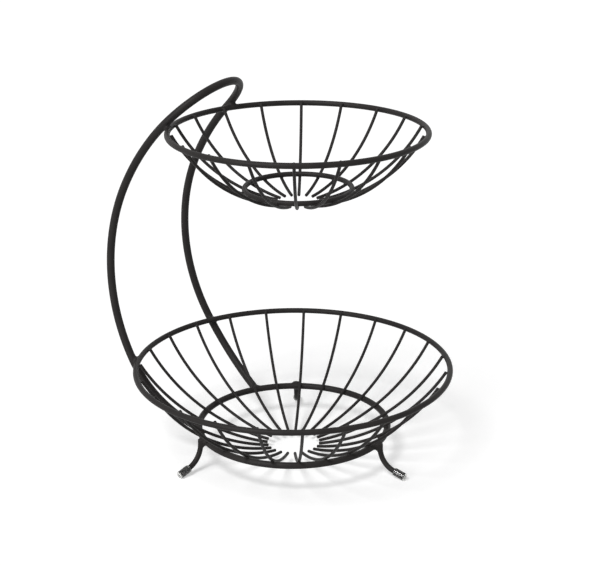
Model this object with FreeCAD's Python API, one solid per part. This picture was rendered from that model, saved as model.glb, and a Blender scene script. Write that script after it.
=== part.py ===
import FreeCAD, Part
import math
import os
from FreeCAD import Vector

# Two-tier wire basket: a small round bowl over a larger one, both carried by one bent arch wire,
# on three sprung-out legs with push-on feet. All steel wire, welded and then powder coated black.
# Millimetres, +Z up. The arch stands on the +Y side. The origin lies on the surface that the basket
# stands on, under the middle of its outline.

# Wire gauges, over the coating
rim_wire = 4.7
rib_wire = 2.6
lower_ring_wire = 5.5
upper_ring_wire = 4.3
arch_wire = 6.7
leg_wire = 4.5

# Depth to which welded wires settle into each other, and how far ribs rise past the middle of a rim
weld_set_down = 0.3
rib_rise = 1.2

# Lower bowl: outer diameters, and drop from the middle of the rim to the middle of the base ring
lower_rim_diameter = 267.1
lower_ring_diameter = 165.2
lower_ring_drop = 53.2
lower_rib_count = 23
lower_hub_diameter = 44.0

# Upper bowl: its sizes, how far the back of its rim stands in front of the end of the arch's curl, and
# how far its rim stands above the lower one
upper_rim_diameter = 211.5
upper_ring_diameter = 90.7
upper_ring_drop = 46.4
upper_rib_count = 18
upper_hub_diameter = 34.0
upper_bowl_setback = 30.17936
tier_spacing = 201.6

# Arch: spread of its uprights at each rim, how much steeper than the bowl's wall they leave the lower
# rim, their curl above it, from which they run on more gently to the upper rim and the loop, where
# their lower ends meet the base ring, counted round from the arch's plane, and how clear of the ribs
arch_lower_spread = 114.8
arch_upper_spread = 94.8
arch_splay_deg = 2.1
arch_curl_radius = 160.0
arch_curl_deg = 56.6
arch_foot_deg = 34.0
arch_rib_clearance = 1.2

# Legs: a short stem on the base ring, an outward bend and a gently sloping toe. Where each stands, and
# how far its toe is turned about its own stem
leg_head = 2.0
leg_stem = 3.6
leg_bend_radius = 18.4
leg_toe_run = 10.2
leg_toe_slope_deg = 16.5
leg_turns_deg = {"front_leg": 269.5, "left_leg": 146.5, "right_leg": 30.0}
leg_toe_turns_deg = {"front_leg": 0.0, "left_leg": 20.0, "right_leg": 0.0}

# Push-on feet of clear vinyl, each pressed flat where it bears on the surface
cap_wall = 1.0
cap_length = 11.2
cap_end = 1.2
cap_round = 1.6
cap_fit = 0.05
sole_flat = 0.4

# Radii of the wires' middle lines
lower_rim_radius = (lower_rim_diameter - rim_wire) / 2
upper_rim_radius = (upper_rim_diameter - rim_wire) / 2
lower_ring_radius = (lower_ring_diameter - lower_ring_wire) / 2
upper_ring_radius = (upper_ring_diameter - upper_ring_wire) / 2
leg_radius = lower_ring_radius + (lower_ring_wire + leg_wire) / 2 - weld_set_down
cap_radius = leg_wire / 2 + cap_fit + cap_wall

# Heights, worked up from the surface: foot, toe, bend, stem, base ring, rims
toe_slope = math.radians(leg_toe_slope_deg)
toe_reach = leg_toe_run + cap_fit + cap_end
toe_top = ((toe_reach - cap_round) * math.sin(toe_slope)
           + (cap_radius - cap_round) * math.cos(toe_slope) + cap_round - sole_flat)
bend_top = toe_top + leg_bend_radius * math.cos(toe_slope)
leg_top = bend_top + leg_stem
lower_ring_height = leg_top - leg_head
lower_rim_height = lower_ring_height + lower_ring_drop
upper_rim_height = lower_rim_height + tier_spacing
upper_ring_height = upper_rim_height - upper_ring_drop

up = Vector(0, 0, 1)
back = Vector(0, 1, 0)

# Seats are found round by round, and each round takes up this share of what is still missing
settle_rounds = 120
settle_share = 0.2


def ring_of_wire(radius, gauge, height, axis=Vector(0, 0, 0)):
    """A closed round ring of wire, lying level."""
    return Part.makeTorus(radius, gauge / 2, axis + up * height)


def disc(middle, along, gauge):
    """The wire's round section at a point, square to the way it runs."""
    return Part.Face(Part.Wire(Part.Circle(middle, along, gauge / 2).toShape()))


def arc(start, along, end):
    """Centre, axis and turn of the round bend that leaves start in one direction and reaches end."""
    chord = end - start
    axis = along.cross(chord).normalize()
    inward = axis.cross(along).normalize()
    radius = chord.Length ** 2 / (2 * chord.dot(inward))
    turn = math.degrees(2 * math.atan2(chord.dot(inward), chord.dot(along)))
    return start + inward * radius, axis, turn


def swing(start, along, centre, axis, turn):
    """The point where a round bend ends, and its direction there."""
    spin = FreeCAD.Rotation(axis, turn)
    return centre + spin.multVec(start - centre), spin.multVec(along)


def bend(start, along, centre, axis, turn, gauge):
    """A round bend of wire, the point where it ends and its direction there."""
    solid = disc(start, along, gauge).revolve(centre, axis, turn)
    return solid, *swing(start, along, centre, axis, turn)


def straight(start, end, gauge):
    """A straight run of wire."""
    return Part.makeCylinder(gauge / 2, (end - start).Length, start, end - start)


def one_piece(runs):
    """Joins the runs of one bent wire, which share their end sections."""
    return runs[0].multiFuse(runs[1:]).removeSplitter()


def turned(shape, degrees, axis=Vector(0, 0, 0)):
    """A copy of a shape, turned about an upright axis."""
    copy = shape.copy()
    copy.rotate(axis, up, degrees)
    return copy


def bowl_curve(rim_radius, rim_height, ring_radius, ring_height, ring_gap):
    """Middle height and radius of the round curve that ribs follow to lie inside the rim and on the ring."""
    rim_gap = (rim_wire + rib_wire) / 2 - weld_set_down
    middle = rim_height
    for _ in range(settle_rounds):
        curve = math.hypot(rim_radius, middle - rim_height) - rim_gap
        squares = rim_radius ** 2 + rim_height ** 2 - ring_radius ** 2 - ring_height ** 2
        gaps = 2 * curve * (rim_gap - ring_gap) + rim_gap ** 2 - ring_gap ** 2
        middle = (squares - gaps) / (2 * (rim_height - ring_height))
    return middle, curve


def rib(middle, curve, rim_height, hub_radius):
    """One rib along +X, from just above the middle of the rim to a square cut near the bowl's middle."""
    top_height = rim_height + rib_rise
    top = Vector(math.sqrt(curve ** 2 - (middle - top_height) ** 2), 0, top_height)
    end = Vector(hub_radius, 0, middle - math.sqrt(curve ** 2 - hub_radius ** 2))
    along = back.cross(top - up * middle).normalize()
    return bend(top, along, *arc(top, along, end), rib_wire)[0]


def level_share(along, place):
    """Share of a level gap that is left square to a wire that leans towards an upright axis."""
    outward = Vector(place.x, place.y, 0).normalize()
    return abs(along.z) / math.hypot(along.z, along.dot(outward))


def upright_course(wall_middle):
    """The right upright's middle line: place and direction at the lower rim, curl and upper end, and the
    upper bowl's axis, which is set off from the end of the curl."""
    reach = (rim_wire + arch_wire) / 2 - weld_set_down
    low_x, high_x = arch_lower_spread / 2, arch_upper_spread / 2
    low_gap, high_gap, upper_axis = reach, reach, Vector(0, 0, 0)
    for _ in range(settle_rounds):
        low = Vector(low_x, math.sqrt((lower_rim_radius + low_gap) ** 2 - low_x ** 2), lower_rim_height)
        high = Vector(high_x, math.sqrt((upper_rim_radius + high_gap) ** 2 - high_x ** 2), upper_rim_height)
        high = high + upper_axis
        outward = Vector(low.x, low.y, 0)
        lean = math.atan2(wall_middle - lower_rim_height, outward.Length) - math.radians(arch_splay_deg)
        outward.normalize()
        rise = Vector(high.x - low.x, 0, high.z - low.z).normalize()
        tilt = (math.tan(lean) * rise.z - rise.dot(outward)) / back.dot(outward)
        low_along = (rise + back * tilt).normalize()
        axis = low_along.cross(high - low).normalize()
        curl = low + axis.cross(low_along) * arch_curl_radius, axis, arch_curl_deg
        knee, knee_along = swing(low, low_along, *curl)
        upper_axis = back * (knee.y - upper_bowl_setback - upper_rim_diameter / 2)
        _, high_along = swing(knee, knee_along, *arc(knee, knee_along, high))
        low_gap += (reach / level_share(low_along, low) - low_gap) * settle_share
        high_gap += (reach / level_share(high_along, high - upper_axis) - high_gap) * settle_share
    return low, low_along, curl, high, upper_axis


def arch(low, low_along, curl, high, wall_middle, wall_curve):
    """The arch: one wire, from the base ring up past both rims, round a loop and back down, and its back."""
    lower_run, knee, knee_along = bend(low, low_along, *curl, arch_wire)
    upper_run, _, high_along = bend(knee, knee_along, *arc(knee, knee_along, high), arch_wire)
    far_high = Vector(-high.x, high.y, high.z)
    loop = bend(high, high_along, *arc(high, high_along, far_high), arch_wire)[0]
    foot_turn = math.radians(arch_foot_deg)
    foot_radius = lower_ring_radius + lower_ring_wire / 2
    wall_reach = wall_curve + (rib_wire + arch_wire) / 2 + arch_rib_clearance
    foot = Vector(foot_radius * math.sin(foot_turn), foot_radius * math.cos(foot_turn),
                  wall_middle - math.sqrt(wall_reach ** 2 - foot_radius ** 2))
    down = low_along * (-1)
    tail = bend(low, down, *arc(low, down, foot), arch_wire)[0]
    runs = [tail, lower_run, upper_run]
    runs += [run.mirror(Vector(0, 0, 0), Vector(1, 0, 0)) for run in runs]
    return one_piece(runs + [loop]), curl[0].y + arch_curl_radius + arch_wire / 2


def leg():
    """One leg along +X, standing on the outside of the base ring, with its heel and its toe's direction."""
    top = Vector(leg_radius, 0, leg_top)
    knee = Vector(leg_radius, 0, bend_top)
    heel = Vector(leg_radius + leg_bend_radius * (1 - math.sin(toe_slope)), 0, toe_top)
    curve, _, toe_along = bend(knee, up * (-1), *arc(knee, up * (-1), heel), leg_wire)
    return one_piece([straight(top, knee, leg_wire), curve,
                      straight(heel, heel + toe_along * leg_toe_run, leg_wire)]), heel, toe_along


def foot_cap(heel, toe_along):
    """One push-on foot: a soft tube with a closed round end, pressed flat underneath."""
    bore = leg_wire / 2 + cap_fit
    tip = leg_toe_run + cap_fit
    mouth = toe_reach - cap_length
    crown = toe_reach - cap_round
    half_turn = cap_round * math.sin(math.pi / 4)
    outline = [Part.LineSegment(Vector(bore, 0, mouth), Vector(cap_radius, 0, mouth)),
               Part.LineSegment(Vector(cap_radius, 0, mouth), Vector(cap_radius, 0, crown)),
               Part.Arc(Vector(cap_radius, 0, crown),
                        Vector(cap_radius - cap_round + half_turn, 0, crown + half_turn),
                        Vector(cap_radius - cap_round, 0, toe_reach)),
               Part.LineSegment(Vector(cap_radius - cap_round, 0, toe_reach), Vector(0, 0, toe_reach)),
               Part.LineSegment(Vector(0, 0, toe_reach), Vector(0, 0, tip)),
               Part.LineSegment(Vector(0, 0, tip), Vector(bore, 0, tip)),
               Part.LineSegment(Vector(bore, 0, tip), Vector(bore, 0, mouth))]
    face = Part.Face(Part.Wire([edge.toShape() for edge in outline]))
    cap = face.revolve(Vector(0, 0, 0), up, 360)
    cap.Placement = FreeCAD.Placement(heel, FreeCAD.Rotation(up, toe_along))
    below = Part.makeBox(2 * cap_length, 2 * cap_length, cap_length,
                         Vector(heel.x - cap_length / 2, -cap_length, -cap_length))
    return cap.cut(below)


def numbered(name, count):
    """Names of a row of equal pieces, counted from 01."""
    return ["%s_%02d" % (name, k + 1) for k in range(count)]


nodes = {}

# Lower bowl: its ribs lie inside the rim and on top of the base ring, and one stands in the arch's plane
lower_rim = ring_of_wire(lower_rim_radius, rim_wire, lower_rim_height)
lower_ring = ring_of_wire(lower_ring_radius, lower_ring_wire, lower_ring_height)
lower_ring_gap = (lower_ring_wire + rib_wire) / 2 - weld_set_down
lower_curve = bowl_curve(lower_rim_radius, lower_rim_height,
                         lower_ring_radius, lower_ring_height, lower_ring_gap)
lower_rib = rib(*lower_curve, lower_rim_height, lower_hub_diameter / 2).cut(lower_rim).cut(lower_ring)
nodes["lower_rim"] = lower_rim
nodes["lower_base_ring"] = lower_ring
lower_step = 360 / lower_rib_count
for k, name in enumerate(numbered("lower_rib", lower_rib_count)):
    nodes[name] = turned(lower_rib, 90 + k * lower_step)

# Upper bowl: made alike, but its base ring lies on top of the ribs. The arch's course places it
*upright, upper_axis = upright_course(lower_curve[0])
upper_rim = ring_of_wire(upper_rim_radius, rim_wire, upper_rim_height, upper_axis)
upper_ring = ring_of_wire(upper_ring_radius, upper_ring_wire, upper_ring_height, upper_axis)
upper_ring_gap = weld_set_down - (upper_ring_wire + rib_wire) / 2
upper_curve = bowl_curve(upper_rim_radius, upper_rim_height,
                         upper_ring_radius, upper_ring_height, upper_ring_gap)
upper_rib = rib(*upper_curve, upper_rim_height, upper_hub_diameter / 2)
upper_rib.translate(upper_axis)
upper_rib = upper_rib.cut(upper_rim).cut(upper_ring)
nodes["upper_rim"] = upper_rim
nodes["upper_base_ring"] = upper_ring
upper_step = 360 / upper_rib_count
for k, name in enumerate(numbered("upper_rib", upper_rib_count)):
    nodes[name] = turned(upper_rib, 90 + k * upper_step, upper_axis)

# Arch, seated on both rims and on the lower base ring
arch_solid, arch_back = arch(*upright, *lower_curve)
nodes["arch"] = arch_solid.cut(lower_rim).cut(upper_rim).cut(lower_ring)

# Legs and their feet, one leg under the bowl's front and two under its back
leg_solid, heel, toe_along = leg()
cap_solid = foot_cap(heel, toe_along)
stem = Vector(leg_radius, 0, 0)
for name, degrees in leg_turns_deg.items():
    toe_turn = leg_toe_turns_deg[name]
    nodes[name] = turned(turned(leg_solid, toe_turn, stem).cut(lower_ring), degrees)
    nodes[name.replace("leg", "foot_cap")] = turned(turned(cap_solid, toe_turn, stem), degrees)

# The origin goes under the middle of the outline, between the lower rim's front and the arch's back
middle_y = (arch_back - lower_rim_diameter / 2) / 2
os.makedirs("parts", exist_ok=True)
for name, shape in nodes.items():
    shape.translate(Vector(0, -middle_y, 0))
    shape.exportStep("parts/%s.step" % name)
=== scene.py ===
import math
import bmesh
import bpy
from mathutils import Matrix, Vector


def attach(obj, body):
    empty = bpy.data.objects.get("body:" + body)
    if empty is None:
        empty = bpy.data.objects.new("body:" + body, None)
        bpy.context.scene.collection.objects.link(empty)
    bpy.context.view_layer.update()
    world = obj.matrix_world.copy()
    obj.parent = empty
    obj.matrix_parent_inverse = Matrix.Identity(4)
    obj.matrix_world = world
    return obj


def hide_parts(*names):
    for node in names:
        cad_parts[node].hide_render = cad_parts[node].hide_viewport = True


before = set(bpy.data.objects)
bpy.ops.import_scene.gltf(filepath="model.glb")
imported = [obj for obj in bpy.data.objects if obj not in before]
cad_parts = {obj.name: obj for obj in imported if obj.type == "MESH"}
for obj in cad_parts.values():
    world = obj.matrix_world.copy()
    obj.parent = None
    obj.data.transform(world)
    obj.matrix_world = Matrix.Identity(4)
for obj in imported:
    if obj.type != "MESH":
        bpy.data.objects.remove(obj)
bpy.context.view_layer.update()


# Lower rim. The mouth of the large bowl: one round of drawn steel wire, butt welded into a closed ring
# and dressed off at the joint before the whole basket was coated. Sizes here and below are in millimetres.
metre = 1000


def linear(colour):
    """The linear colour of an sRGB hex value."""
    parts = [int(colour[i:i + 2], 16) / 255 for i in (1, 3, 5)]
    return [c / 12.92 if c <= 0.04045 else ((c + 0.055) / 1.055) ** 2.4 for c in parts] + [1.0]


def add(tree, kind, links=None, settings=None, **values):
    """Adds a node, with what its sockets are linked from, its settings and its sockets' values."""
    made = tree.nodes.new(kind)
    for name, value in (settings or {}).items():
        setattr(made, name, value)
    for name, value in values.items():
        made.inputs[name.replace("_", " ")].default_value = value
    for socket, source in (links or {}).items():
        tree.links.new(source, made.inputs[socket])
    return made


def blank_material(name):
    """A new material without nodes, and its node tree."""
    material = bpy.data.materials.new(name)
    material.use_nodes = True
    material.node_tree.nodes.clear()
    return material, material.node_tree


# Powder coat: polyester powder, sprayed on and stoved. It melts into one satin skin with a faint orange
# peel, so its highlights are soft and slightly broken, and thin and thick places differ a little in gloss.
def satin_powder_coat():
    peel_mm, cloud_mm, fleck_mm, peel_depth_mm = 1.6, 14.0, 0.45, 0.08
    material, tree = blank_material("satin_black_powder_coat")
    place = {"Vector": add(tree, "ShaderNodeTexCoord").outputs["Object"]}
    peel = add(tree, "ShaderNodeTexNoise", place, Scale=metre / peel_mm, Detail=2.0, Roughness=0.45)
    cloud = add(tree, "ShaderNodeTexNoise", place, Scale=metre / cloud_mm, Detail=3.0, Roughness=0.55)
    fleck = add(tree, "ShaderNodeTexNoise", place, Scale=metre / fleck_mm, Detail=1.0, Roughness=0.5)
    tint = add(tree, "ShaderNodeValToRGB", {"Fac": cloud.outputs["Fac"]})
    tint.color_ramp.elements[0].position, tint.color_ramp.elements[1].position = 0.35, 0.68
    tint.color_ramp.elements[0].color = linear("#252323")
    tint.color_ramp.elements[1].color = linear("#2b2928")
    speck = add(tree, "ShaderNodeMapRange", {"Value": fleck.outputs["Fac"]},
                From_Min=0.35, From_Max=0.7, To_Min=-0.03, To_Max=0.05)
    gloss = add(tree, "ShaderNodeMapRange", {"Value": cloud.outputs["Fac"]},
                From_Min=0.3, From_Max=0.7, To_Min=0.42, To_Max=0.5)
    rough = add(tree, "ShaderNodeMath", {0: gloss.outputs["Result"], 1: speck.outputs["Result"]},
                {"operation": "ADD"})
    skin = add(tree, "ShaderNodeBump", {"Height": peel.outputs["Fac"]},
               Strength=0.35, Distance=peel_depth_mm / metre)
    shader = add(tree, "ShaderNodeBsdfPrincipled",
                 {"Base Color": tint.outputs["Color"], "Roughness": rough.outputs["Value"],
                  "Normal": skin.outputs["Normal"]}, IOR=1.5, Specular_IOR_Level=0.1)
    add(tree, "ShaderNodeOutputMaterial", {"Surface": shader.outputs["BSDF"]})
    return material


def smooth_mesh(name, verts, faces):
    """A smoothly shaded mesh."""
    mesh = bpy.data.meshes.new(name)
    mesh.from_pydata(verts, [], faces)
    mesh.update()
    mesh.shade_smooth()
    return mesh


def swept_wire(name, line, gauge, sides, closed=False, end_round=0.0):
    """The mesh of a round wire along a line of points. Open ends have rounded edges."""
    round_steps = 4
    count = len(line)
    if closed:
        ways = [(line[(i + 1) % count] - line[i - 1]).normalized() for i in range(count)]
    else:
        ways = [(line[min(i + 1, count - 1)] - line[max(i - 1, 0)]).normalized() for i in range(count)]
    side = ways[0].orthogonal().normalized()
    sections = []
    for i, way in enumerate(ways):
        side = (side - way * side.dot(way)).normalized()
        sections.append((line[i], side.copy(), way.cross(side), gauge / 2))
    if not closed:
        for end, inward in ((0, 1), (-1, -1)):
            middle, across, up, radius = sections[end]
            way = ways[end] * inward
            rounded = []
            for k in range(round_steps + 1):
                turn = math.pi / 2 * k / round_steps
                rounded.append((middle + way * end_round * (1 - math.sin(turn)), across, up,
                                radius - end_round * (1 - math.cos(turn))))
            sections = rounded[::-1] + sections[1:] if end == 0 else sections[:-1] + rounded
    around = [2 * math.pi * j / sides for j in range(sides)]
    verts = [(m + (a * math.cos(t) + u * math.sin(t)) * r) / metre for m, a, u, r in sections for t in around]
    rings = len(sections)
    faces = []
    for i in range(rings if closed else rings - 1):
        k = (i + 1) % rings
        for j in range(sides):
            n = (j + 1) % sides
            faces.append((i * sides + j, i * sides + n, k * sides + n, k * sides + j))
    if not closed:
        faces.append(tuple(range(sides))[::-1])
        faces.append(tuple((rings - 1) * sides + j for j in range(sides)))
    return smooth_mesh(name, verts, faces)


def wire_ring(name, middle, radius, gauge, points, sides):
    """The mesh of a closed, level ring of wire."""
    around = [2 * math.pi * k / points for k in range(points)]
    line = [middle + Vector((math.cos(t), math.sin(t), 0)) * radius for t in around]
    return swept_wire(name, line, gauge, sides, closed=True)


def coated(name, mesh, *nodes):
    """A powder-coated piece, riding on the basket, that stands for the named solids."""
    piece = bpy.data.objects.new(name, mesh)
    bpy.context.scene.collection.objects.link(piece)
    if not mesh.materials:
        mesh.materials.append(powder_coat)
    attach(piece, "root")
    if nodes:
        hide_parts(*nodes)
    return piece


powder_coat = satin_powder_coat()
bowl_y = -8.1303
rim_wire, rim_sides = 4.7, 24
lower_rim_radius, lower_rim_points = 131.2, 288
lower_rim_middle = Vector((0, bowl_y, 78.0698))
lower_rim = wire_ring("lower_rim_wire", lower_rim_middle, lower_rim_radius, rim_wire,
                      lower_rim_points, rim_sides)
coated("lower_rim_wire", lower_rim, "lower_rim")


# Lower base ring. A heavier ring of steel wire under the large bowl, which the ribs are welded down onto.
# It also takes the legs and the two lower ends of the arch.
lower_ring_wire, lower_ring_sides = 5.5, 26
lower_ring_radius, lower_ring_points = 79.85, 224
lower_ring_middle = Vector((0, bowl_y, 24.8698))
lower_ring = wire_ring("lower_base_ring_wire", lower_ring_middle, lower_ring_radius, lower_ring_wire,
                       lower_ring_points, lower_ring_sides)
coated("lower_base_ring_wire", lower_ring, "lower_base_ring")


# Lower ribs. Thin steel wires, rolled to one curve and cut to length. Each is welded inside the rim, a
# little below its top, and lies on the base ring; their inner ends stop short of the bowl's middle.
def bend_line(start, along, end, step):
    """The points of a round bend from start, in a given direction, to end, and its direction there."""
    least_steps = 4
    chord = end - start
    axis = along.cross(chord).normalized()
    inward = axis.cross(along).normalized()
    radius = chord.length_squared / (2 * chord.dot(inward))
    turn = 2 * math.atan2(chord.dot(inward), chord.dot(along))
    count = max(least_steps, math.ceil(radius * turn / step))
    centre = start + inward * radius
    spins = [Matrix.Rotation(turn * k / count, 3, axis) for k in range(count + 1)]
    return [centre + spin @ (start - centre) for spin in spins], spins[-1] @ along


def rib_line(curve_height, curve_radius, rim_height, hub_radius):
    """The middle line of a rib along +X, about the bowl's axis."""
    top_height = rim_height + rib_rise
    top = Vector((math.sqrt(curve_radius ** 2 - (curve_height - top_height) ** 2), 0, top_height))
    end = Vector((hub_radius, 0, curve_height - math.sqrt(curve_radius ** 2 - hub_radius ** 2)))
    along = Vector((0, 1, 0)).cross(top - Vector((0, 0, curve_height))).normalized()
    return bend_line(top, along, end, rib_step)[0]


def turned(degrees, y):
    """A turn about the upright axis of a bowl, which stands at y."""
    return Matrix.Translation((0, y / metre, 0)) @ Matrix.Rotation(math.radians(degrees), 4, "Z")


def rib_turns(count):
    """Even turns about a bowl's axis, the first towards the arch."""
    return [90 + k * 360 / count for k in range(count)]


def set_ribs(name, line, turns, y):
    """A bowl's ribs: copies of one bent wire, set round the bowl's axis."""
    mesh = swept_wire(name + "_wire", line, rib_wire, rib_sides, end_round=rib_end_round)
    for k, degrees in enumerate(turns, 1):
        rib = coated("%s_wire_%02d" % (name, k), mesh, "%s_%02d" % (name, k))
        rib.matrix_world = turned(degrees, y)


rib_wire, rib_rise, rib_end_round = 2.6, 1.2, 0.5
rib_step, rib_sides = 2.4, 16
lower_rib_count = 23
lower_curve_height, lower_curve_radius, lower_hub_radius = 154.4683, 148.4728, 22.0
lower_rib_line = rib_line(lower_curve_height, lower_curve_radius, lower_rim_middle.z, lower_hub_radius)
lower_turns = rib_turns(lower_rib_count)
set_ribs("lower_rib", lower_rib_line, lower_turns, bowl_y)


# Lower bowl's welds. The wires are pressed together and fused by current, so each crossing has a small
# hollow fillet of melted steel between the two skins, which the coating rounds over.
def weld_bead(ring_middle, ring_radius, ring_gauge, line, gauge, throat, reach):
    """The bead where a wire passes closest to a ring: the gap of their skins, filled to a round corner."""
    # The wires are pressed into each other by set_down, and the bead's edge is sunk just below their skins.
    # Throat is the radius of the hollow corner, and reach is the farthest that a bead runs from its middle.
    set_down, sunk, points_each_way, touch_steps = 0.3, 0.03, 5, 20
    close_enough, stride = 0.004, 0.7
    large_throat, large_cuts, small_cuts = 2.0, 5, 4

    def ring_point(point):
        outward = Vector((point.x - ring_middle.x, point.y - ring_middle.y, 0)).normalized()
        return ring_middle + outward * ring_radius

    def off_ring(point):
        return (point - ring_point(point)).length - ring_gauge / 2

    nearest = min(range(len(line)), key=lambda k: off_ring(line[k]))
    first, last = max(nearest - points_each_way, 0), min(nearest + points_each_way, len(line) - 1)
    runs = [(line[k], line[k + 1] - line[k]) for k in range(first, last)]
    ends = []
    if first == 0:
        ends.append((line[0], (line[0] - line[1]).normalized()))
    if last == len(line) - 1:
        ends.append((line[-1], (line[-1] - line[-2]).normalized()))

    def off_wire(point):
        gap = math.inf
        for start, run in runs:
            share = (point - start).dot(run) / run.length_squared
            gap = min(gap, (point - start - run * min(max(share, 0), 1)).length)
        beyond = [(point - end).dot(way) for end, way in ends]
        return max([gap - gauge / 2] + beyond)

    steps = range(touch_steps + 1)
    touch = min((start + run * k / touch_steps for start, run in runs for k in steps), key=off_ring)
    middle = ring_point(touch)
    middle += (touch - middle).normalized() * (ring_gauge - set_down) / 2
    ball = bmesh.new()
    cuts = large_cuts if throat > large_throat else small_cuts
    bmesh.ops.create_icosphere(ball, subdivisions=cuts, radius=1.0)
    verts = []
    for vert in ball.verts:
        way, away, depth = vert.co.normalized(), 0.0, math.inf
        while away < reach and depth > close_enough:
            gaps = off_ring(middle + way * away), off_wire(middle + way * away)
            depth = math.hypot(*(max(throat - gap, 0) for gap in gaps)) - max(throat, min(gaps)) - sunk
            away += stride * max(depth, 0)
        verts.append(middle + way * min(away, reach))
    faces = [tuple(vert.index for vert in face.verts) for face in ball.faces]
    ball.free()
    return verts, faces


def weld_mesh(name, beads, turns, y):
    """One mesh of beads that recur about an axis."""
    verts, faces = [], []
    for some, corners in beads:
        for degrees in turns:
            faces += [tuple(len(verts) + c for c in corner) for corner in corners]
            verts += [turned(degrees, y) @ (v / metre) for v in some]
    return smooth_mesh(name, verts, faces)


def on_axis(height):
    """The point of a bowl's axis at a height."""
    return Vector((0, 0, height))


def rib_welds(name, height, ring_radius, ring_gauge, line, turns, y):
    """The beads that join a bowl's ribs to one of its rings."""
    bead = weld_bead(on_axis(height), ring_radius, ring_gauge, line, rib_wire, rib_throat, rib_reach)
    coated(name, weld_mesh(name, [bead], turns, y))


rib_throat, rib_reach = 1.0, 2.6
rib_welds("lower_rim_welds", lower_rim_middle.z, lower_rim_radius, rim_wire,
          lower_rib_line, lower_turns, bowl_y)
rib_welds("lower_ring_welds", lower_ring_middle.z, lower_ring_radius, lower_ring_wire,
          lower_rib_line, lower_turns, bowl_y)


# Upper rim. The mouth of the small bowl, a closed ring of the same steel wire as the lower rim. It leans on
# the arch, to which it is welded, and its axis stands a little in front of the large bowl's.
upper_setback = 6.1
upper_y = bowl_y - upper_setback
upper_rim_radius, upper_rim_points = 103.4, 240
upper_rim_middle = Vector((0, upper_y, 279.6698))
upper_rim = wire_ring("upper_rim_wire", upper_rim_middle, upper_rim_radius, rim_wire,
                      upper_rim_points, rim_sides)
coated("upper_rim_wire", upper_rim, "upper_rim")


# Upper ribs. The same thin steel wires as the lower ones, rolled tighter and cut shorter. There are fewer
# of them, and one stands in the middle plane of the arch.
upper_rib_count = 18
upper_curve_height, upper_curve_radius, upper_hub_radius = 335.56, 114.1884, 17.0
upper_rib_line = rib_line(upper_curve_height, upper_curve_radius, upper_rim_middle.z, upper_hub_radius)
upper_turns = rib_turns(upper_rib_count)
set_ribs("upper_rib", upper_rib_line, upper_turns, upper_y)


# Upper base ring. A ring of middling steel wire that lies on top of the ribs, inside the small bowl, and
# holds them apart. It is welded to each rib from above.
upper_ring_wire, upper_ring_sides = 4.3, 24
upper_ring_radius, upper_ring_points = 43.2, 160
upper_ring_middle = Vector((0, upper_y, 233.2698))
upper_ring = wire_ring("upper_base_ring_wire", upper_ring_middle, upper_ring_radius, upper_ring_wire,
                       upper_ring_points, upper_ring_sides)
coated("upper_base_ring_wire", upper_ring, "upper_base_ring")


# Upper bowl's welds. Small fillets of melted steel like the large bowl's, fused by current where each rib
# meets the rim and the base ring, and coated over.
rib_welds("upper_rim_welds", upper_rim_middle.z, upper_rim_radius, rim_wire,
          upper_rib_line, upper_turns, upper_y)
rib_welds("upper_ring_welds", upper_ring_middle.z, upper_ring_radius, upper_ring_wire,
          upper_rib_line, upper_turns, upper_y)


# Arch. One thick steel wire, bent in space: from the base ring up outside the large bowl, past both rims,
# over in a loop that is the carrying handle, and down the other side.
arch_wire, arch_end_round = 6.7, 1.0
arch_step, arch_sides = 2.5, 28
arch_low, arch_low_way = Vector((57.4, 124.6824, 78.0698)), Vector((-0.0428, 0.5037, 0.8628)).normalized()
arch_knee, arch_high = Vector((49.8884, 129.8294, 229.5045)), Vector((47.4, 93.9666, 279.6698))
arch_foot = Vector((46.1893, 68.4785, 24.112))
tail_line, _ = bend_line(arch_low, -arch_low_way, arch_foot, arch_step)
curl_line, knee_way = bend_line(arch_low, arch_low_way, arch_knee, arch_step)
upper_line, high_way = bend_line(arch_knee, knee_way, arch_high, arch_step)
loop_line, _ = bend_line(arch_high, high_way, Vector((-arch_high.x, *arch_high.yz)), arch_step)
right_line = tail_line[:0:-1] + curl_line + upper_line[1:]
left_line = [Vector((-p.x, p.y, p.z)) for p in reversed(right_line)]
bowl_foot = Vector((0, bowl_y, 0))
arch_line = [p + bowl_foot for p in right_line + loop_line[1:-1] + left_line]
arch = swept_wire("arch_wire", arch_line, arch_wire, arch_sides, end_round=arch_end_round)
coated("arch_wire", arch, "arch")


# Arch's welds. The arch is welded by hand where it leans on each rim and where its ends meet the base ring,
# so these beads are larger and rounder than the ribs'.
def mirrored(bead):
    """The same bead on the other side of the arch."""
    verts, faces = bead
    return [Vector((-v.x, v.y, v.z)) for v in verts], [face[::-1] for face in faces]


arch_throat, arch_reach, loop_points = 3.0, 8.0, 20
crossing_line = right_line + loop_line[1:loop_points]
arch_rings = ((lower_rim_middle, lower_rim_radius, rim_wire),
              (upper_rim_middle, upper_rim_radius, rim_wire),
              (lower_ring_middle, lower_ring_radius, lower_ring_wire))
beads = [weld_bead(middle - bowl_foot, radius, gauge, crossing_line, arch_wire, arch_throat, arch_reach)
         for middle, radius, gauge in arch_rings]
beads += [mirrored(bead) for bead in beads]
coated("arch_welds", weld_mesh("arch_welds", beads, [0], bowl_y))


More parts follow.
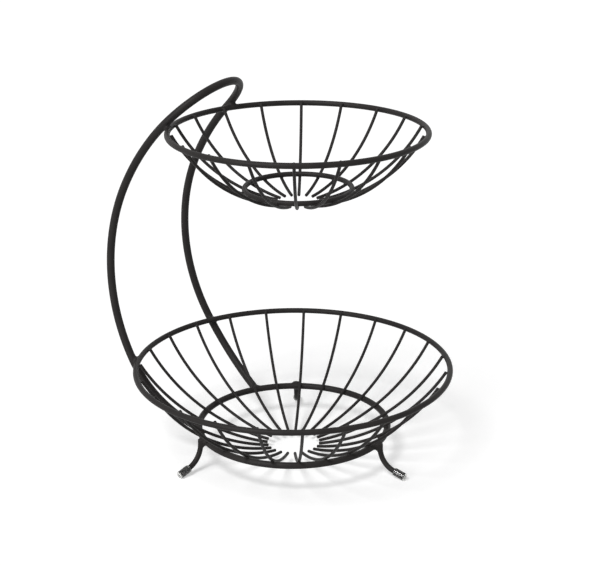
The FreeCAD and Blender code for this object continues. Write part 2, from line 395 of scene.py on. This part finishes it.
# Legs. Three short steel wires, bent once and welded upright to the outside of the base ring, so that their
# toes splay outwards and reach the table. The left one's toe is turned a little about its stem.
leg_wire, leg_end_round = 4.5, 0.7
leg_step, stem_steps, toe_steps, leg_sides = 1.2, 4, 8, 22
leg_radius, leg_top, bend_top = 84.55, 26.8698, 23.2698
heel, toe_way, toe_run = Vector((97.7241, 0, 5.6275)), Vector((0.95882, 0, -0.28402)), 10.2
knee = Vector((leg_radius, 0, bend_top))
stem_line = [Vector((leg_radius, 0, leg_top + (bend_top - leg_top) * k / stem_steps))
             for k in range(stem_steps)]
knee_line, _ = bend_line(knee, Vector((0, 0, -1)), heel, leg_step)
toe_line = [heel + toe_way * toe_run * k / toe_steps for k in range(1, toe_steps + 1)]
leg_line = stem_line + knee_line + toe_line
leg = swept_wire("leg_wire", leg_line, leg_wire, leg_sides, end_round=leg_end_round)
leg_turns = {"front": 269.5, "left": 146.5, "right": 30.0}
toe_turns = {"front": 0.0, "left": 20.0, "right": 0.0}


def on_leg(name):
    """The place of a leg's pieces: round the bowl, and turned about the leg's own stem."""
    stem = Matrix.Translation((leg_radius / metre, 0, 0))
    toe_turn = Matrix.Rotation(math.radians(toe_turns[name]), 4, "Z")
    return turned(leg_turns[name], bowl_y) @ stem @ toe_turn @ stem.inverted()


for name in leg_turns:
    coated(name + "_leg_wire", leg, name + "_leg").matrix_world = on_leg(name)


# Legs' welds. Each leg stands along the base ring's outside and is welded to it by hand, with the widest
# beads on the basket.
leg_throat, leg_reach = 4.5, 8.0
leg_bead = weld_bead(on_axis(lower_ring_middle.z), lower_ring_radius, lower_ring_wire, leg_line, leg_wire,
                     leg_throat, leg_reach)
coated("leg_welds", weld_mesh("leg_welds", [leg_bead], leg_turns.values(), bowl_y))


# Push-on feet. Dip-moulded caps of clear soft vinyl, slipped over the legs' ends so that they don't scratch
# the table. Each has a thick closed end, is pressed flat where it bears, and stands slightly open at its
# mouth, where the wall was cut.
def clear_vinyl():
    """Plasticised PVC, dipped: clear and glossy, with slow ripples in its wall and a faint milky tint."""
    ripple_mm, ripple_depth_mm = 3.0, 0.2
    material, tree = blank_material("clear_dipped_vinyl")
    place = {"Vector": add(tree, "ShaderNodeTexCoord").outputs["Object"]}
    ripple = add(tree, "ShaderNodeTexNoise", place, Scale=metre / ripple_mm, Detail=1.0, Roughness=0.5)
    wall = add(tree, "ShaderNodeBump", {"Height": ripple.outputs["Fac"]},
               Strength=0.04, Distance=ripple_depth_mm / metre)
    rough = add(tree, "ShaderNodeMapRange", {"Value": ripple.outputs["Fac"]},
                From_Min=0.3, From_Max=0.7, To_Min=0.03, To_Max=0.07)
    shader = add(tree, "ShaderNodeBsdfPrincipled",
                 {"Normal": wall.outputs["Normal"], "Roughness": rough.outputs["Result"]},
                 Base_Color=linear("#f1f2ef"), IOR=1.53, Transmission_Weight=1.0)
    add(tree, "ShaderNodeOutputMaterial", {"Surface": shader.outputs["BSDF"]})
    return material


vinyl = clear_vinyl()
cap_radius, cap_length, cap_end, cap_round, cap_fit, mouth_round = 3.3, 11.2, 1.2, 1.6, 0.05, 0.35
# The bore is drawn tighter than the leg, which stretches it, and it flares by a hair towards the mouth.
stretch, flare, flare_run = 0.1, 0.3, 1.0
bore = leg_wire / 2 - stretch
lip = bore + flare
tip = toe_run + cap_fit
end = tip + cap_end
mouth = end - cap_length
lip_start = mouth + mouth_round
bore_steps, flare_steps, mouth_steps, wall_steps, crown_steps, cap_sides = 8, 8, 4, 10, 8, 40
inner_share, outer_share, same_point = 0.6, 0.5, 1e-7
mouth_turns = [math.pi / 2 / mouth_steps * k for k in range(mouth_steps + 1)]
crown_turns = [math.pi / 2 / crown_steps * k for k in range(1, crown_steps + 1)]
profile = [(0.0, tip), (bore * inner_share, tip), (bore, tip)]
profile += [(bore, tip + (lip_start + flare_run - tip) * k / bore_steps) for k in range(1, bore_steps + 1)]
profile += [(bore + flare * (k / flare_steps) ** 2, lip_start + flare_run * (1 - k / flare_steps))
            for k in range(1, flare_steps + 1)]
profile += [(lip + mouth_round * (1 - math.cos(t)), mouth + mouth_round * (1 - math.sin(t)))
            for t in mouth_turns[1:]]
profile += [(cap_radius - mouth_round * (1 - math.sin(t)), mouth + mouth_round * (1 - math.cos(t)))
            for t in mouth_turns]
profile += [(cap_radius, lip_start + (end - cap_round - lip_start) * k / wall_steps)
            for k in range(1, wall_steps + 1)]
profile += [(cap_radius - cap_round * (1 - math.cos(t)), end - cap_round * (1 - math.sin(t)))
            for t in crown_turns]
profile += [((cap_radius - cap_round) * outer_share, end), (0.0, end)]
toe_up = Vector((-toe_way.z, 0, toe_way.x))
cap_verts, cap_faces = [], []
for radius, run in profile:
    middle = heel + toe_way * run
    for j in range(cap_sides):
        turn = 2 * math.pi * j / cap_sides
        point = middle + (Vector((0, 1, 0)) * math.cos(turn) + toe_up * math.sin(turn)) * radius
        cap_verts.append(Vector((point.x, point.y, max(point.z, 0))) / metre)
for i in range(len(profile) - 1):
    here, there = i * cap_sides, (i + 1) * cap_sides
    for j in range(cap_sides):
        k = (j + 1) % cap_sides
        cap_faces.append((here + j, there + j, there + k, here + k))
cap = smooth_mesh("vinyl_foot_cap", cap_verts, cap_faces)
work = bmesh.new()
work.from_mesh(cap)
bmesh.ops.remove_doubles(work, verts=work.verts, dist=same_point)
bmesh.ops.recalc_face_normals(work, faces=work.faces)
work.to_mesh(cap)
work.free()
cap.materials.append(vinyl)
for name in leg_turns:
    piece = bpy.data.objects.new(name + "_vinyl_cap", cap)
    bpy.context.scene.collection.objects.link(piece)
    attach(piece, "root")
    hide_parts(name + "_foot_cap")
    piece.matrix_world = on_leg(name)


# Floor and world. A plain white studio sweep: both show white to the eye and in reflections, and the floor
# keeps the basket's own soft shadow.
def seen(tree):
    """One where the eye, a reflection or a look through the vinyl meets a surface, zero for its light."""
    path = add(tree, "ShaderNodeLightPath").outputs
    first = add(tree, "ShaderNodeMath", {0: path["Is Camera Ray"], 1: path["Is Glossy Ray"]},
                {"operation": "MAXIMUM"})
    both = add(tree, "ShaderNodeMath", {0: first.outputs["Value"], 1: path["Is Transmission Ray"]},
               {"operation": "MAXIMUM"})
    return both.outputs["Value"]


floor_half, floor_drop, floor_lift = 6000 / metre, 0.2 / metre, 0.44
white = linear("#ffffff")
paper, tree = blank_material("white_paper_sweep")
matt = add(tree, "ShaderNodeBsdfDiffuse", Color=linear("#e2e2e2"))
lift = add(tree, "ShaderNodeMath", {0: seen(tree)}, {"operation": "MULTIPLY"})
lift.inputs[1].default_value = floor_lift
glow = add(tree, "ShaderNodeEmission", {"Strength": lift.outputs["Value"]}, Color=white)
both = add(tree, "ShaderNodeAddShader", {0: matt.outputs["BSDF"], 1: glow.outputs["Emission"]})
add(tree, "ShaderNodeOutputMaterial", {"Surface": both.outputs["Shader"]})
floor_mesh = bpy.data.meshes.new("paper_floor")
floor_mesh.from_pydata([(x * floor_half, y * floor_half, -floor_drop)
                        for x, y in ((-1, -1), (1, -1), (1, 1), (-1, 1))], [], [(0, 1, 2, 3)])
floor_mesh.materials.append(paper)
floor = bpy.data.objects.new("paper_floor", floor_mesh)
bpy.context.scene.collection.objects.link(floor)

fill_level, seen_level = 0.22, 1.0
world = bpy.data.worlds.new("studio")
bpy.context.scene.world = world
world.use_nodes = True
tree = world.node_tree
tree.nodes.clear()
level = add(tree, "ShaderNodeMapRange", {"Value": seen(tree)}, To_Min=fill_level, To_Max=seen_level)
sky = add(tree, "ShaderNodeBackground", {"Strength": level.outputs["Result"]}, Color=white)
add(tree, "ShaderNodeOutputWorld", {"Surface": sky.outputs["Background"]})


# Lights. A large soft source high on the left of the view, whose shadow falls away to the right, and a
# softbox low at the front left, which models the sides of the wires.
for name, energy, spread_deg, falls in (("key_light", 1.9, 20, (0.56, -0.05, -0.827)),
                                        ("left_softbox", 1.3, 30, (0.99, -0.139, -0.3))):
    light = bpy.data.lights.new(name, "SUN")
    light.energy, light.angle = energy, math.radians(spread_deg)
    lamp = bpy.data.objects.new(name, light)
    lamp.rotation_euler = Vector(falls).to_track_quat("-Z", "Y").to_euler()
    bpy.context.scene.collection.objects.link(lamp)


# Camera. It stands left of the basket's front, as the photographer did, and looks slightly down. Its place is
# given from the middle of the lower rim, and its lens from the photo's width and focal length in pixels.
camera_yaw, camera_pitch, camera_roll, view_turn = (math.radians(d) for d in (0.328, 19.60, -0.27, -58.0))
camera_back, camera_rise = 1160.9, 486.4
focal_px, width_px, shift_px, sensor_mm = 1499.0, 600, 0.5, 36.0
camera_data = bpy.data.cameras.new("camera")
camera_data.sensor_width, camera_data.sensor_fit = sensor_mm, "HORIZONTAL"
camera_data.lens = focal_px / width_px * sensor_mm
camera_data.shift_x, camera_data.shift_y = -shift_px / width_px, shift_px / width_px
camera = bpy.data.objects.new("camera", camera_data)
bpy.context.scene.collection.objects.link(camera)
right = Vector((math.cos(camera_yaw), -math.sin(camera_yaw), 0))
ahead = Vector((math.sin(camera_yaw) * math.cos(camera_pitch), math.cos(camera_yaw) * math.cos(camera_pitch),
                -math.sin(camera_pitch)))
top = right.cross(ahead)
across = right * math.cos(camera_roll) + top * math.sin(camera_roll)
above = top * math.cos(camera_roll) - right * math.sin(camera_roll)
facing = Matrix((across, above, -ahead)).transposed().to_4x4()
spin = Matrix.Rotation(view_turn, 4, "Z")
stand = spin @ (Vector((0, -camera_back, camera_rise)) / metre) + lower_rim_middle / metre
camera.matrix_world = Matrix.Translation(stand) @ spin @ facing
bpy.context.scene.camera = camera
bpy.context.scene.view_settings.view_transform = "Standard"

bpy.context.view_layer.update()
